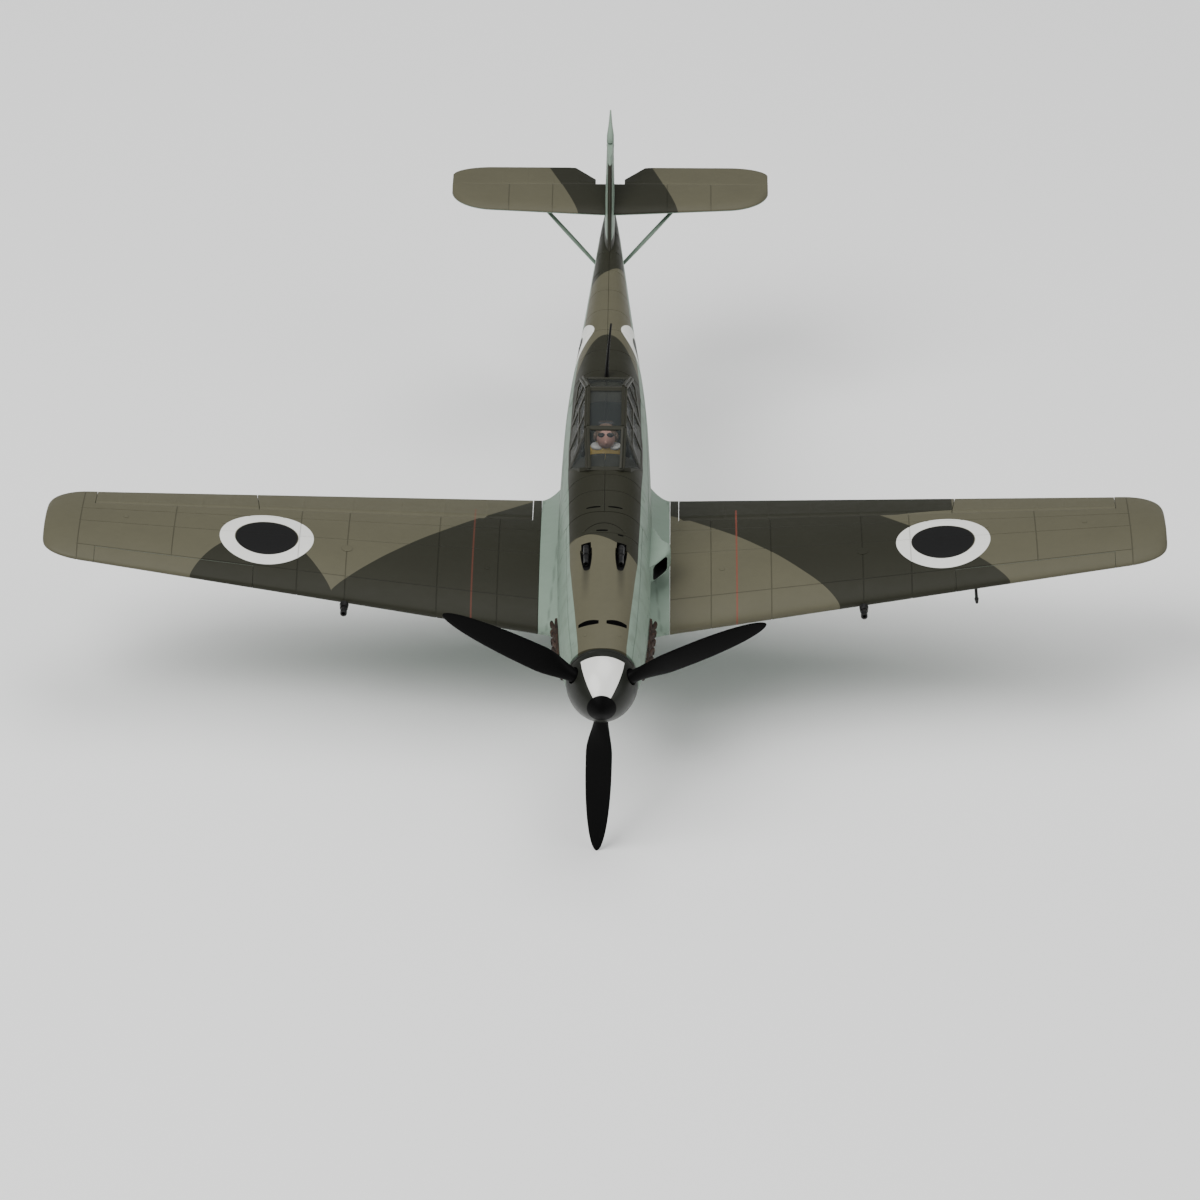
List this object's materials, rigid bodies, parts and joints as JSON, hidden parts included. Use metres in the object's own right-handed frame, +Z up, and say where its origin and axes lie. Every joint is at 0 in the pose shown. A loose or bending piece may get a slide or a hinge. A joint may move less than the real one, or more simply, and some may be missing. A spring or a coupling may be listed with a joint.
{
  "type": "propeller fighter plane display model",
  "caption": "Small display model of a single-engine low-wing fighter plane with a turning propeller, opening canopy, folding wheels and hinged control surfaces.",
  "frame": {"origin": "under the middle of the span and the length, level with the lowest blade tip", "axes": "+X towards the aircraft's left wing tip, +Y aft along the propeller axis, +Z up"},
  "size_m": [0.2056, 0.18, 0.0599],
  "materials": {
    "camouflage_paint": "satin two-tone grey-green camouflage",
    "pale_paint": "satin pale blue-grey",
    "dark_metal": "dull dark metal",
    "tyre_rubber": "matte",
    "hub_paint": "satin",
    "propeller_black": "satin black",
    "spinner_paint": "satin dark green with one white quarter",
    "clear_canopy": "clear, frames painted dark green",
    "cockpit_grey": "matte",
    "black_plastic": "matte",
    "figure_plastic": "matte hand-painted figure"
  },
  "bodies": {
    "airframe": {"fuselage_left": "camouflage_paint", "fuselage_right": "camouflage_paint", "wing_left": "camouflage_paint", "wing_right": "camouflage_paint", "cowling_upper": "camouflage_paint", "tail_fin": "camouflage_paint", "tailplane_left": "camouflage_paint", "tailplane_right": "camouflage_paint", "cowling_lower": "pale_paint", "belly_plate": "pale_paint", "radiator_left": "pale_paint", "radiator_right": "pale_paint", "supercharger_intake": "pale_paint", "tail_strut_left": "pale_paint", "tail_strut_right": "pale_paint", "wing_cannon_left": "dark_metal", "wing_cannon_right": "dark_metal", "cowl_gun_left": "dark_metal", "cowl_gun_right": "dark_metal", "exhaust_left": "dark_metal", "exhaust_right": "dark_metal", "propeller_bearing": "dark_metal", "pitot_tube": "dark_metal", "windscreen": "clear_canopy", "rear_glazing": "clear_canopy", "cockpit_tub": "cockpit_grey", "pilot_seat": "cockpit_grey", "instrument_panel": "black_plastic", "control_stick": "black_plastic", "antenna_mast": "black_plastic", "pilot_figure": "figure_plastic"},
    "propeller": {"spinner_cap": "propeller_black", "spinner": "spinner_paint", "spinner_backplate": "spinner_paint", "propeller_shaft": "dark_metal", "blade_1": "propeller_black", "blade_2": "propeller_black", "blade_3": "propeller_black"},
    "canopy_hood": {"canopy_hood": "clear_canopy"},
    "rudder": {"rudder": "pale_paint"},
    "tail_wheel_fork": {"tail_wheel_fork": "dark_metal"},
    "tail_wheel": {"tail_wheel": "tyre_rubber"},
    "flap_left": {"flap_left": "camouflage_paint"},
    "aileron_left": {"aileron_left": "camouflage_paint"},
    "slat_left": {"slat_left": "camouflage_paint"},
    "elevator_left": {"elevator_left": "camouflage_paint"},
    "main_gear_left": {"gear_leg_left": "dark_metal", "gear_cover_left": "pale_paint"},
    "main_wheel_left": {"tyre_left": "tyre_rubber", "wheel_hub_left": "hub_paint"},
    "flap_right": {"flap_right": "camouflage_paint"},
    "aileron_right": {"aileron_right": "camouflage_paint"},
    "slat_right": {"slat_right": "camouflage_paint"},
    "elevator_right": {"elevator_right": "camouflage_paint"},
    "main_gear_right": {"gear_leg_right": "dark_metal", "gear_cover_right": "pale_paint"},
    "main_wheel_right": {"tyre_right": "tyre_rubber", "wheel_hub_right": "hub_paint"}
  },
  "joints": [
    {"name": "propeller_spin", "type": "hinge", "parent": "airframe", "child": "propeller", "pos_m": [0, -0.0827, 0.03269], "axis": [0, 1, 0], "continuous": true},
    {"name": "canopy_swing", "type": "hinge", "parent": "airframe", "child": "canopy_hood", "pos_m": [-0.0069, -0.0138, 0.04009], "axis": [0, -1, 0], "range_deg": [0, 88]},
    {"name": "rudder_turn", "type": "hinge", "parent": "airframe", "child": "rudder", "pos_m": [0, 0.0794, 0.04469], "axis": [0, 0, 1], "range_deg": [-28, 28]},
    {"name": "tail_wheel_swivel", "type": "hinge", "parent": "airframe", "child": "tail_wheel_fork", "pos_m": [0, 0.0596, 0.03099], "axis": [0, 0, 1], "range_deg": [-60, 60]},
    {"name": "tail_wheel_roll", "type": "hinge", "parent": "tail_wheel_fork", "child": "tail_wheel", "pos_m": [0, 0.062, 0.02749], "axis": [1, 0, 0], "continuous": true},
    {"name": "flap_left_lower", "type": "hinge", "parent": "airframe", "child": "flap_left", "pos_m": [0.0388, -0.01538, 0.02689], "axis": [-0.9908, 0.0907, -0.1008], "range_deg": [0, 40]},
    {"name": "aileron_left_turn", "type": "hinge", "parent": "airframe", "child": "aileron_left", "pos_m": [0.07915, -0.01908, 0.03099], "axis": [0.9908, -0.0907, 0.1008], "range_deg": [-20, 20]},
    {"name": "slat_left_slide", "type": "slide", "parent": "airframe", "child": "slat_left", "axis": [0, -0.9429, -0.333], "range_m": [0, 0.002]},
    {"name": "elevator_left_turn", "type": "hinge", "parent": "airframe", "child": "elevator_left", "pos_m": [0, 0.0764, 0.04699], "axis": [1, 0, 0], "range_deg": [-25, 25]},
    {"name": "main_gear_left_fold", "type": "hinge", "parent": "airframe", "child": "main_gear_left", "pos_m": [0.01319, -0.033, 0.02301], "axis": [0, 1, 0], "range_deg": [0, 78]},
    {"name": "main_wheel_left_roll", "type": "hinge", "parent": "main_gear_left", "child": "main_wheel_left", "pos_m": [0.03831, -0.033, 0.02685], "axis": [-0.122, 0, 0.9925], "continuous": true},
    {"name": "flap_right_lower", "type": "hinge", "parent": "airframe", "child": "flap_right", "pos_m": [-0.0388, -0.01538, 0.02689], "axis": [-0.9908, -0.0907, 0.1008], "range_deg": [0, 40]},
    {"name": "aileron_right_turn", "type": "hinge", "parent": "airframe", "child": "aileron_right", "pos_m": [-0.07915, -0.01908, 0.03099], "axis": [0.9908, 0.0907, -0.1008], "range_deg": [-20, 20]},
    {"name": "slat_right_slide", "type": "slide", "parent": "airframe", "child": "slat_right", "axis": [0, -0.9429, -0.333], "range_m": [0, 0.002]},
    {"name": "elevator_right_turn", "type": "hinge", "parent": "airframe", "child": "elevator_right", "pos_m": [0, 0.0764, 0.04699], "axis": [1, 0, 0], "range_deg": [-25, 25]},
    {"name": "main_gear_right_fold", "type": "hinge", "parent": "airframe", "child": "main_gear_right", "pos_m": [-0.01319, -0.033, 0.02301], "axis": [0, -1, 0], "range_deg": [0, 78]},
    {"name": "main_wheel_right_roll", "type": "hinge", "parent": "main_gear_right", "child": "main_wheel_right", "pos_m": [-0.03831, -0.033, 0.02685], "axis": [0.122, 0, 0.9925], "continuous": true}
  ],
  "couplings": [
    {"joint": "aileron_right_turn", "follows": "aileron_left_turn", "ratio": -1},
    {"joint": "flap_right_lower", "follows": "flap_left_lower", "ratio": 1},
    {"joint": "elevator_right_turn", "follows": "elevator_left_turn", "ratio": 1}
  ]
}
